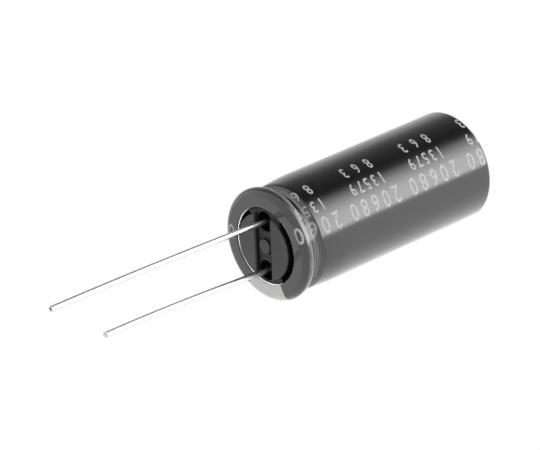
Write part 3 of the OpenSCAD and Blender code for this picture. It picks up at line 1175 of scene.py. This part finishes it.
    def _marks(self) -> list[bpy.types.Mesh]:
        """Makes the stripe's minus marks, bars with round ends along the can.

        Returns:
            Their wrapped meshes.
        """
        parts = []
        place = self.sleeve.length_at(self.sleeve.rim + self.mark_from)
        end = self.sleeve.length_at(self.sleeve.rim + self.mark_to)
        while place < end:
            flat = bmesh.new()
            bmesh.ops.create_grid(flat, x_segments=1, y_segments=1, size=0.5)
            bmesh.ops.scale(flat, vec=(self.mark_length, self.mark_width, 1.0), verts=flat.verts[:])
            rounded(flat, flat.verts[:], self.mark_round, self.mark_round_steps, "VERTICES")
            bmesh.ops.translate(flat, vec=(place, 0.0, 0.0), verts=flat.verts[:])
            self._wrap(flat)
            part = bpy.data.meshes.new("mark")
            flat.to_mesh(part)
            flat.free()
            parts.append(part)
            place += self.mark_period
        return parts

    def build(self, ink: bpy.types.Material, dark: bpy.types.Material) -> list[bpy.types.Object]:
        """Lays the figures and the marks.

        Args:
            ink: Pale ink of the figures.
            dark: Dark ink of the marks.

        Returns:
            Both pieces.
        """
        figures = [part for row in self.rows for part in self._row_parts(row)]
        made = [finished("sleeve_figures", self._joined(figures), [ink]),
                finished("stripe_marks", self._joined(self._marks()), [dark])]
        for flat in self.cut.values():
            bpy.data.meshes.remove(flat)
        return made


# ---------------------------------------------------------------- seal


@dataclass
class RubberSeal:
    """The moulded bung: face plate with pockets and moats, two lands, a dot, and the hidden body.

    Its hidden wall is given as radius and height, point by point, and follows the can's curled edge,
    lip and bead from the neck to the rear face.
    """

    face_height: float = 0.6
    neck_radius: float = 5.56
    land_radius: float = 4.9
    notch_radius: float = 4.84
    channel_half: float = 1.5
    moat_half_angle: float = 56.0
    moat_depth: float = 0.9
    pocket_radius: float = 1.48
    pocket_depth: float = 1.0
    bore_radius: float = 1.01
    lead_offset: float = 3.75
    dot_radius: float = 1.1
    dot_height: float = 0.3
    edge_round: float = 0.09
    edge_steps: int = 4
    land_edge_steps: int = 5
    corner_round: float = 0.95
    corner_steps: int = 8
    land_root: float = 0.05
    arc_steps: int = 40
    moat_steps: int = 64
    hole_steps: int = 64
    land_steps: int = 192
    dot_steps: int = 72
    tolerance: float = 0.01
    smooth_below: float = 32.0
    hidden_wall: tuple[tuple[float, float], ...] = (
        (5.56, 1.64), (6.04, 1.64), (6.06, 1.2), (7.5, 1.2), (7.7, 1.5), (7.7, 1.75), (7.1, 2.1), (6.6, 2.5),
        (6.4, 3.2), (6.5, 3.9), (6.9, 4.3), (7.15, 4.8), (7.25, 5.6), (7.32, 6.9), (7.22, 7.0))

    def _ring(self, mesh: bmesh.types.BMesh, radius: float, height: float, centre: float
              ) -> list[bmesh.types.BMEdge]:
        """Draws a circle of edges.

        Args:
            mesh: Mesh that receives it.
            radius: Its radius.
            height: Its height.
            centre: Its centre's X.

        Returns:
            The edges.
        """
        drawn = bmesh.ops.create_circle(mesh, cap_ends=False, radius=radius, segments=self.hole_steps,
                                        matrix=Matrix.Translation((centre, 0.0, height)))
        return list(dict.fromkeys(edge for vert in drawn["verts"] for edge in vert.link_edges))

    @staticmethod
    def _arc(mesh: bmesh.types.BMesh, start: bmesh.types.BMVert, end: bmesh.types.BMVert, degrees: float,
             steps: int) -> list[bmesh.types.BMEdge]:
        """Draws an arc round the can's axis between two vertices.

        Args:
            mesh: Mesh that receives it.
            start: Where it starts.
            end: Where it ends.
            degrees: Angle between them.
            steps: Number of edges.

        Returns:
            The edges.
        """
        before = set(mesh.edges)
        turned = bmesh.ops.spin(mesh, geom=[start], cent=(0.0, 0.0, 0.0), axis=(0.0, 0.0, 1.0),
                                angle=math.radians(degrees) * (steps - 1) / steps, steps=steps - 1)
        tip = next(part for part in turned["geom_last"] if isinstance(part, bmesh.types.BMVert))
        mesh.edges.new((tip, end))
        return [edge for edge in mesh.edges if edge not in before]

    def _outline(self, mesh: bmesh.types.BMesh) -> tuple[list[bmesh.types.BMEdge], list[bmesh.types.BMVert]]:
        """Draws the face's outline, which steps inward along each moat.

        Args:
            mesh: Mesh that receives it.

        Returns:
            The outline's edges, and its four outer corners anticlockwise.
        """
        notched = 2 * self.moat_half_angle
        rest = 180.0 - notched
        corners = []
        for radius in (self.neck_radius, self.notch_radius):
            drawn = []
            for azimuth in (-rest / 2, rest / 2, 180.0 - rest / 2, 180.0 + rest / 2):
                turn = math.radians(azimuth)
                across = Vector((math.cos(turn), math.sin(turn), 0.0)) * radius
                drawn.append(mesh.verts.new(across + Vector((0.0, 0.0, self.face_height))))
            corners.append(drawn)
        outer, inner = corners
        edges = []
        for index in (0, 2):
            following = (index + 2) % 4
            edges += self._arc(mesh, outer[index], outer[index + 1], rest, self.arc_steps)
            edges += self._arc(mesh, inner[index + 1], inner[following], notched, self.moat_steps)
            edges += [mesh.edges.new((outer[spot], inner[spot])) for spot in (index + 1, following)]
        return edges, outer

    def _ledges(self, mesh: bmesh.types.BMesh, outline: list[bmesh.types.BMEdge],
                corners: list[Vector]) -> list[bmesh.types.BMEdge]:
        """Closes the moats' floors out to the neck.

        Args:
            mesh: The mesh.
            outline: The face's outline at the height of the moats' floors.
            corners: Where its four outer corners are, anticlockwise.

        Returns:
            The neck's full circle.
        """
        verts = ends_of(outline)
        inside = self.neck_radius - self.tolerance
        neck = [edge for edge in outline if all(vert.co.xy.length > inside for vert in edge.verts)]
        for start, end, side in ((corners[1], corners[2], 1.0), (corners[3], corners[0], -1.0)):
            first, last = (min(verts, key=lambda vert, goal=goal: (vert.co.xy - goal.xy).length)
                           for goal in (start, end))
            rim = self._arc(mesh, first, last, 2 * self.moat_half_angle, self.moat_steps)
            step = [edge for edge in outline if edge not in neck
                    and side * (edge.verts[0].co.y + edge.verts[1].co.y) > 0.0]
            bmesh.ops.triangle_fill(mesh, use_beauty=True, use_dissolve=False, edges=rim + step)
            neck += rim
        return neck

    @staticmethod
    def _drop(mesh: bmesh.types.BMesh, edges: list[bmesh.types.BMEdge], depth: float
              ) -> list[bmesh.types.BMEdge]:
        """Pulls a loop of edges into the rubber, making a wall.

        Args:
            mesh: The mesh.
            edges: The loop.
            depth: How far it goes up along Z.

        Returns:
            The loop at the wall's other end.
        """
        grown = bmesh.ops.extrude_edge_only(mesh, edges=edges)["geom"]
        verts = [part for part in grown if isinstance(part, bmesh.types.BMVert)]
        bmesh.ops.translate(mesh, vec=(0.0, 0.0, depth), verts=verts)
        fresh = set(verts)
        return [part for part in grown if isinstance(part, bmesh.types.BMEdge) and set(part.verts) <= fresh]

    def _body(self) -> bmesh.types.BMesh:
        """Builds the face plate, its pockets and moats, the bores and the hidden wall.

        Returns:
            The closed mesh.
        """
        mesh = bmesh.new()
        rear = self.hidden_wall[-1]
        outline, outer = self._outline(mesh)
        corners = [vert.co.copy() for vert in outer]
        pockets = [self._ring(mesh, self.pocket_radius, self.face_height, side * self.lead_offset)
                   for side in (-1.0, 1.0)]
        rims = outline + [edge for loop in pockets for edge in loop]
        bmesh.ops.triangle_fill(mesh, use_beauty=True, use_dissolve=False, edges=rims)
        rear_holes = []
        for loop, side in zip(pockets, (-1.0, 1.0)):
            floor = self._drop(mesh, loop, self.pocket_depth)
            mouth = self._ring(mesh, self.bore_radius, self.face_height + self.pocket_depth,
                               side * self.lead_offset)
            bmesh.ops.bridge_loops(mesh, edges=floor + mouth)
            rear_holes += self._drop(mesh, mouth, rear[1] - self.face_height - self.pocket_depth)
        wall = self._ledges(mesh, self._drop(mesh, outline, self.moat_depth), corners)
        radius, height = self.neck_radius, self.face_height + self.moat_depth
        for next_radius, next_height in self.hidden_wall:
            wall = self._drop(mesh, wall, next_height - height)
            verts = ends_of(wall)
            bmesh.ops.scale(mesh, vec=(next_radius / radius, next_radius / radius, 1.0), verts=verts)
            radius, height = next_radius, next_height
        bmesh.ops.triangle_fill(mesh, use_beauty=True, use_dissolve=False, edges=wall + rear_holes)
        bmesh.ops.recalc_face_normals(mesh, faces=mesh.faces[:])
        rounded(mesh, [edge for edge in rims if edge.is_valid], self.edge_round, self.edge_steps)
        return mesh

    def _pad(self, side: float) -> bmesh.types.BMesh:
        """Builds one D-shaped land with rounded edges.

        Args:
            side: 1 for the +Y side and -1 for the other.

        Returns:
            Its mesh.
        """
        mesh = bmesh.new()
        bmesh.ops.create_circle(mesh, cap_ends=True, radius=self.land_radius, segments=self.land_steps)
        wall = Vector((0.0, side * self.channel_half, 0.0))
        chord = sliced(mesh, wall, Vector((0.0, -side, 0.0)), drop=True)
        rounded(mesh, ends_of(chord), self.corner_round, self.corner_steps, "VERTICES")
        depth = self.face_height + self.moat_depth + self.land_root
        grown = bmesh.ops.extrude_face_region(mesh, geom=mesh.faces[:])["geom"]
        bmesh.ops.translate(mesh, vec=(0.0, 0.0, depth),
                            verts=[part for part in grown if isinstance(part, bmesh.types.BMVert)])
        bmesh.ops.recalc_face_normals(mesh, faces=mesh.faces[:])
        rim = [edge for edge in mesh.edges if all(vert.co.z < self.tolerance for vert in edge.verts)]
        rounded(mesh, rim, self.edge_round, self.land_edge_steps)
        return mesh

    def _dot(self) -> bmesh.types.BMesh:
        """Builds the round dot in the middle of the channel.

        Returns:
            Its mesh.
        """
        mesh = bmesh.new()
        bmesh.ops.create_cone(mesh, cap_ends=True, cap_tris=False, segments=self.dot_steps,
                              radius1=self.dot_radius, radius2=self.dot_radius, depth=2 * self.dot_height,
                              matrix=Matrix.Translation((0.0, 0.0, self.face_height)))
        low = self.face_height - self.dot_height + self.tolerance
        rim = [edge for edge in mesh.edges if all(vert.co.z < low for vert in edge.verts)]
        rounded(mesh, rim, self.edge_round, self.edge_steps)
        return mesh

    def build(self, rubber: bpy.types.Material) -> bpy.types.Object:
        """Joins the seal's shapes and dresses them.

        Args:
            rubber: The rubber's material.

        Returns:
            The seal, which stands for the CAD node.
        """
        whole = self._body()
        for part in (self._pad(1.0), self._pad(-1.0), self._dot()):
            kept = bpy.data.meshes.new("part")
            part.to_mesh(kept)
            part.free()
            whole.from_mesh(kept)
            bpy.data.meshes.remove(kept)
        piece = finished("rubber_seal", whole, [rubber], self.smooth_below)
        return standing_for(piece, "end_seal")


# ---------------------------------------------------------------- leads


@dataclass
class LeadWire:
    """One tinned wire with a sheared tip, which narrows to its weld and leans slightly from handling."""

    node: str
    name: str
    cut_slant: float
    cut_turn: float
    lean: float
    radius: float = 0.4
    weld_radius: float = 0.35
    tip_inset: float = 0.05
    tip_crown: float = 0.03
    segments: int = 48
    wire_strokes: int = 60
    weld_strokes: int = 6
    smooth_below: float = 50.0

    def _shear(self, mesh: bmesh.types.BMesh, low: float) -> None:
        """Cuts the wire's tip off on a slant and closes it with a crowned face of its own finish.

        Args:
            mesh: The wire, standing on the can's axis.
            low: Height of the tip's lowest point.
        """
        slant = math.radians(self.cut_slant)
        turn = math.radians(self.cut_turn)
        out = Vector((math.sin(slant) * math.cos(turn), math.sin(slant) * math.sin(turn), -math.cos(slant)))
        rise = self.radius * math.tan(slant)
        rim = sliced(mesh, Vector((0.0, 0.0, low + rise)), out, drop=True)
        end = bmesh.ops.edgeloop_fill(mesh, edges=rim)["faces"]
        bmesh.ops.inset_region(mesh, faces=end, thickness=self.tip_inset, depth=self.tip_crown,
                               use_even_offset=True)
        for face in end:
            face.material_index = 1
        bmesh.ops.recalc_face_normals(mesh, faces=mesh.faces[:])

    def build(self, tin: bpy.types.Material, core: bpy.types.Material) -> bpy.types.Object:
        """Turns the wire, shears its tip, leans it and dresses it.

        Args:
            tin: Material of the plated wire.
            core: Material of the sheared face.

        Returns:
            The wire, which stands for the CAD node.
        """
        low, high = millimetre_box(self.node)
        spare = 2 * self.radius
        pen = Pen(0.0, low.z - spare)
        pen.line(self.radius, low.z - spare)
        pen.line(self.radius, 0.0, self.wire_strokes)
        pen.line(self.weld_radius, high.z, self.weld_strokes)
        pen.line(0.0, high.z)
        mesh = pen.revolve(self.segments)
        self._shear(mesh, low.z)
        middle = (low.x + high.x) / 2
        lowest = min(vert.co.z for vert in mesh.verts)
        bmesh.ops.translate(mesh, vec=(middle, 0.0, low.z - lowest), verts=mesh.verts[:])
        for vert in mesh.verts:
            vert.co.x -= self.lean * math.sin(math.pi / 2 * min(vert.co.z, 0.0) / low.z)
        piece = finished(self.name, mesh, [tin, core], self.smooth_below)
        return standing_for(piece, self.node)


# ---------------------------------------------------------------- carried-over nodes


@dataclass
class CanAndWinding:
    """CAD nodes that keep their shape and get their finishes here."""

    effects: Effects
    dressed: tuple[tuple[Finish, tuple[str, ...]], ...] = (
        (TurnedAluminium("can_aluminium_finish", (0.72, 0.73, 0.745), roughness=0.3, metallic=1.0), ("can",)),
        (DrawnMetal("tab_aluminium_finish", (0.6, 0.61, 0.63), roughness=0.34, metallic=1.0, line_depth=3.0,
                    painted_shade_below=3.0), ("positive_tab", "negative_tab")),
        (EtchedFoil("etched_foil_finish", (0.42, 0.43, 0.44), roughness=0.7, metallic=0.85), ("anode_foil",)),
        (DrawnMetal("plain_foil_finish", (0.62, 0.63, 0.64), roughness=0.38, metallic=1.0,
                    grain=Grain.ROUND_AXIS), ("cathode_foil",)),
        (SoakedPaper("separator_paper_finish", (0.74, 0.66, 0.5), roughness=0.75),
         ("separator_inner", "separator_outer")),
        (TapeFilm("tape_film_finish", (0.6, 0.42, 0.14), roughness=0.25), ("fixing_tape",)),
    )

    def build(self) -> None:
        """Gives each carried-over node its material."""
        for finish, nodes in self.dressed:
            material = finish.make(self.effects)
            for node in nodes:
                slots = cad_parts[node].data.materials
                slots.clear()
                slots.append(material)
                log.info("node %s: finish %s", node, finish.name)


# ---------------------------------------------------------------- studio


@dataclass(frozen=True)
class Panel:
    """A stop of the studio's wrap-round light: its azimuth in degrees from +X and its level."""

    azimuth: float
    level: float


@dataclass
class Studio:
    """Plain pale floor, soft light all round with one broad bright side, and the camera."""

    panels: tuple[Panel, ...] = (
        Panel(-180, 0.1), Panel(-171, 0.25), Panel(-165, 0.75), Panel(-156, 2.5), Panel(-142, 5.7),
        Panel(-136, 7.0), Panel(-122, 9.2), Panel(-99, 9.4), Panel(-95.5, 6.5), Panel(-91, 3.0),
        Panel(-86, 2.6), Panel(-40, 2.0), Panel(41, 2.0), Panel(74, 1.25), Panel(109, 1.1),
        Panel(131, 0.5), Panel(150, 0.3), Panel(180, 0.1))
    brightest: float = 10.0
    overhead: float = 2.2
    overhead_rise: Range = (0.75, 0.95)
    floor_seen: float = 0.34
    floor_lit: float = 0.85
    floor_gap: float = 0.1
    floor_radius: float = 260.0
    floor_segments: int = 96
    floor_fade: Range = (60.0, 170.0)
    tooth_level: Range = (0.35, 0.65)
    tooth_lift: float = 1.03
    azimuth: float = -32.16
    elevation: float = -37.89
    roll: float = 66.48
    distance: float = 515.45
    aim: tuple[float, float, float] = (-2.663, 0.365, 1.853)
    lens: float = 247.0
    clip: Range = (0.05, 20.0)

    def camera(self) -> None:
        """Places the camera."""
        turn, rise = math.radians(self.azimuth), math.radians(self.elevation)
        back = Vector((math.sin(turn) * math.cos(rise), -math.cos(turn) * math.cos(rise), math.sin(rise)))
        data = bpy.data.cameras.new("camera")
        data.lens = self.lens
        data.clip_start, data.clip_end = self.clip
        holder = bpy.data.objects.new("camera", data)
        holder.rotation_mode = "QUATERNION"
        tilt = Quaternion((0.0, 0.0, 1.0), math.radians(self.roll))
        holder.rotation_quaternion = (-back).to_track_quat("-Z", "Y") @ tilt
        holder.location = (Vector(self.aim) + back * self.distance) * MM
        bpy.context.scene.collection.objects.link(holder)
        bpy.context.scene.camera = holder

    def light(self) -> None:
        """Makes the wrap-round light; the camera itself sees plain white."""
        world = bpy.data.worlds.new("studio")
        bpy.context.scene.world = world
        world.use_nodes = True
        world.node_tree.nodes.clear()
        w = Wiring(world.node_tree)
        way = w.node("ShaderNodeTexCoord").outputs["Generated"]
        _, azimuth = w.polar(way)
        ramp = w.node("ShaderNodeValToRGB", {0: w.ranged(azimuth, -180.0, 180.0, smooth=False)})
        stops = ramp.color_ramp.elements
        for panel in self.panels[1:-1]:
            stops.new((panel.azimuth + 180.0) / 360.0)
        for stop, panel in zip(stops, self.panels):
            stop.position = (panel.azimuth + 180.0) / 360.0
            stop.color = (*[panel.level / self.brightest] * 3, 1.0)
        _, _, height = w.split(way)
        near_top = w.ranged(height, *self.overhead_rise)
        wall = w.math("MULTIPLY", ramp.outputs[0], self.brightest)
        level = w.math("ADD", w.math("MULTIPLY", wall, w.math("SUBTRACT", 1.0, near_top)),
                       w.math("MULTIPLY", near_top, self.overhead))
        lamp = w.node("ShaderNodeBackground", {"Color": (1.0, 1.0, 1.0), "Strength": level})
        plain = w.node("ShaderNodeBackground", {"Color": (1.0, 1.0, 1.0), "Strength": 1.0})
        seen = w.node("ShaderNodeLightPath").outputs["Is Camera Ray"]
        both = w.node("ShaderNodeMixShader", {0: seen, 1: lamp.outputs[0], 2: plain.outputs[0]})
        w.node("ShaderNodeOutputWorld", {"Surface": both.outputs[0]})
        bpy.context.scene.view_settings.view_transform = "Standard"

    def floor(self) -> None:
        """Lays the floor under the longer lead's tip; from below it is clear."""
        low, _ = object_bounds()
        mesh = bmesh.new()
        bmesh.ops.create_circle(mesh, cap_ends=True, radius=self.floor_radius * MM,
                                segments=self.floor_segments)
        bmesh.ops.translate(mesh, vec=(0.0, 0.0, low.z - self.floor_gap * MM), verts=mesh.verts[:])
        data = bpy.data.meshes.new("floor")
        mesh.to_mesh(data)
        mesh.free()
        material = bpy.data.materials.new("floor_paper")
        material.use_nodes = True
        material.node_tree.nodes.clear()
        w = Wiring(material.node_tree)
        place = w.millimetres()
        radius, _ = w.polar(place)
        tooth = w.noise(place, 0.5, 4.0)
        raised = w.ranged(tooth, *self.tooth_level)
        shown = w.mix(raised, (self.floor_seen,) * 3, (self.floor_seen * self.tooth_lift,) * 3)
        seen = w.node("ShaderNodeBsdfDiffuse", {"Color": shown})
        lit = w.node("ShaderNodeBsdfDiffuse", {"Color": (self.floor_lit,) * 3})
        path = w.node("ShaderNodeLightPath").outputs["Is Camera Ray"]
        paper = w.node("ShaderNodeMixShader", {0: path, 1: lit.outputs[0], 2: seen.outputs[0]})
        clear = w.node("ShaderNodeBsdfTransparent")
        behind = w.node("ShaderNodeNewGeometry").outputs["Backfacing"]
        far_off = w.ranged(radius, *self.floor_fade)
        fade = w.math("MAXIMUM", behind, w.math("MULTIPLY", path, far_off))
        both = w.node("ShaderNodeMixShader", {0: fade, 1: paper.outputs[0], 2: clear.outputs[0]})
        w.node("ShaderNodeOutputMaterial", {"Surface": both.outputs[0]})
        data.materials.append(material)
        ground = bpy.data.objects.new("floor", data)
        bpy.context.scene.collection.objects.link(ground)
        ground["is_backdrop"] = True

    def build(self) -> None:
        """Sets the whole studio up."""
        self.camera()
        self.light()
        self.floor()


def main() -> None:
    """Builds the studio and every piece in order."""
    logging.basicConfig(level=logging.INFO, format="%(name)s: %(message)s")
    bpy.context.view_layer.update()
    Studio().build()
    effects = Effects()
    film = ShrinkFilm("sleeve_film_finish", (0.0022, 0.0022, 0.0024), roughness=0.11).make(effects)
    ink = PrintInk("pale_ink_finish", (0.155, 0.153, 0.152), roughness=0.45).make(effects)
    dark = PrintInk("dark_ink_finish", (0.012, 0.012, 0.013), roughness=0.35).make(effects)
    rubber = MouldedRubber("seal_rubber_finish", (0.0118, 0.0114, 0.0116), roughness=0.62).make(effects)
    tin = DrawnMetal("tinned_wire_finish", (0.6, 0.6, 0.61), roughness=0.28, metallic=1.0, line_depth=1.2,
                     painted_edge_shade=0.35).make(effects)
    core = CutWire("cut_wire_finish", (0.42, 0.41, 0.4), roughness=0.45, metallic=1.0).make(effects)

    sleeve = ShrinkSleeve()
    sleeve.build(film)
    SleevePrint(sleeve).build(ink, dark)
    RubberSeal().build(rubber)
    LeadWire("positive_lead", "positive_wire", cut_slant=4.0, cut_turn=40.0, lean=0.75).build(tin, core)
    LeadWire("negative_lead", "negative_wire", cut_slant=24.0, cut_turn=-70.0, lean=1.05).build(tin, core)
    CanAndWinding(effects).build()


if __name__ == "__main__":
    main()
